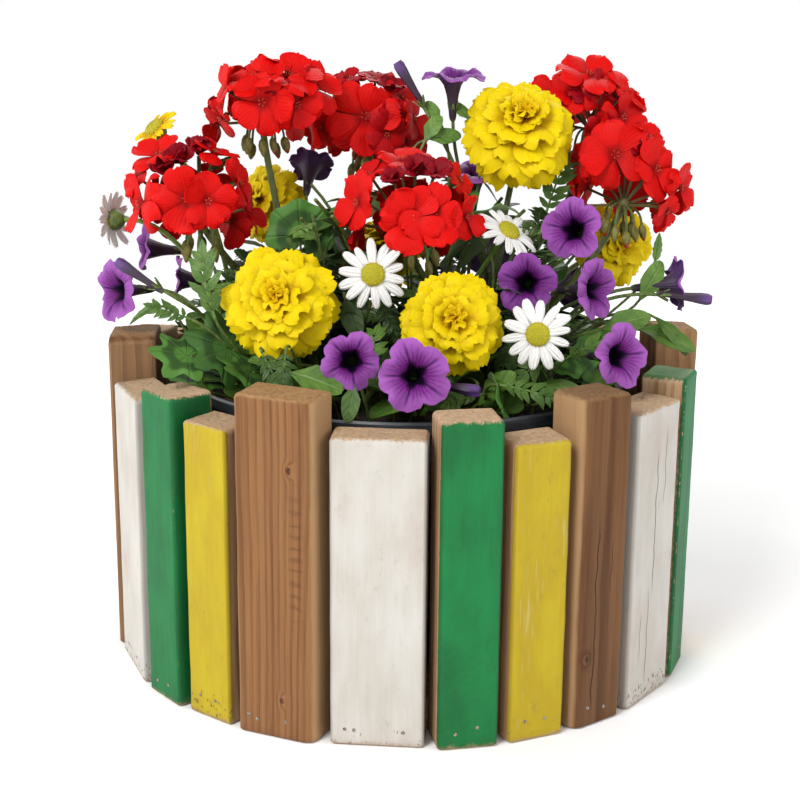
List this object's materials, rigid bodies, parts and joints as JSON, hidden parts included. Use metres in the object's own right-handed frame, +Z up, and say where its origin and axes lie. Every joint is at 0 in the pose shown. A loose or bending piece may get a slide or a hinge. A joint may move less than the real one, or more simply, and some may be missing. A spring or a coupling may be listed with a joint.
{
  "type": "wooden flower planter",
  "caption": "Round planter of upright painted and bare timber slats of uneven height, with a liner pot of soil and mixed red, yellow, white and purple flowers.",
  "frame": {"origin": "centre of the base disc's underside, on the planter's upright axis", "axes": "+Z up along the planter's axis, -Y toward the front, +X to the right as seen from the front"},
  "size_m": [0.3659, 0.3504, 0.3527],
  "materials": {
    "bare_wood": "sawn, weathered",
    "white_painted_wood": "worn matte paint",
    "green_painted_wood": "worn satin paint",
    "yellow_painted_wood": "worn satin paint",
    "disc_wood": "sawn",
    "pot_plastic": "matte",
    "soil": "rough, moist",
    "red_petals": "soft matte",
    "yellow_petals": "soft matte",
    "white_petals": "soft matte",
    "daisy_yellow": "soft matte",
    "purple_petals": "soft matte",
    "leaf_green": "satin"
  },
  "bodies": {
    "root": {"slat_01_bare": "bare_wood", "slat_02_white": "white_painted_wood", "slat_03_green": "green_painted_wood", "slat_04_yellow": "yellow_painted_wood", "slat_05_bare": "bare_wood", "slat_06_white": "white_painted_wood", "slat_07_green": "green_painted_wood", "slat_08_yellow": "yellow_painted_wood", "slat_09_bare": "bare_wood", "slat_10_white": "white_painted_wood", "slat_11_green": "green_painted_wood", "slat_12_yellow": "yellow_painted_wood", "slat_13_bare": "bare_wood", "slat_14_white": "white_painted_wood", "slat_15_green": "green_painted_wood", "slat_16_yellow": "yellow_painted_wood", "slat_17_bare": "bare_wood", "slat_18_white": "white_painted_wood", "slat_19_green": "green_painted_wood", "slat_20_yellow": "yellow_painted_wood", "slat_21_bare": "bare_wood", "slat_22_white": "white_painted_wood", "slat_23_green": "green_painted_wood", "slat_24_yellow": "yellow_painted_wood", "base_disc": "disc_wood", "liner_pot": "pot_plastic", "soil": "soil", "pelargonium_head_1": "red_petals", "pelargonium_head_2": "red_petals", "pelargonium_head_3": "red_petals", "pelargonium_head_4": "red_petals", "pelargonium_head_5": "red_petals", "pelargonium_head_6": "red_petals", "marigold_head_1": "yellow_petals", "marigold_head_2": "yellow_petals", "marigold_head_3": "yellow_petals", "marigold_head_4": "yellow_petals", "marigold_head_5": "yellow_petals", "marigold_head_6": "yellow_petals", "daisy_1": "white_petals", "daisy_1_centre": "daisy_yellow", "daisy_2": "white_petals", "daisy_2_centre": "daisy_yellow", "daisy_3": "white_petals", "daisy_3_centre": "daisy_yellow", "daisy_4": "white_petals", "daisy_4_centre": "daisy_yellow", "daisy_5": "daisy_yellow", "petunia_spray_front": "purple_petals", "petunia_spray_left": "purple_petals", "petunia_spray_right": "purple_petals", "petunia_spray_middle": "purple_petals", "petunia_spray_back": "purple_petals", "pelargonium_plant_left": "leaf_green", "pelargonium_plant_right": "leaf_green", "marigold_plant_left": "leaf_green", "marigold_plant_right": "leaf_green", "daisy_plant_left": "leaf_green", "daisy_plant_right": "leaf_green", "petunia_leafy_plant": "leaf_green"}
  },
  "joints": []
}
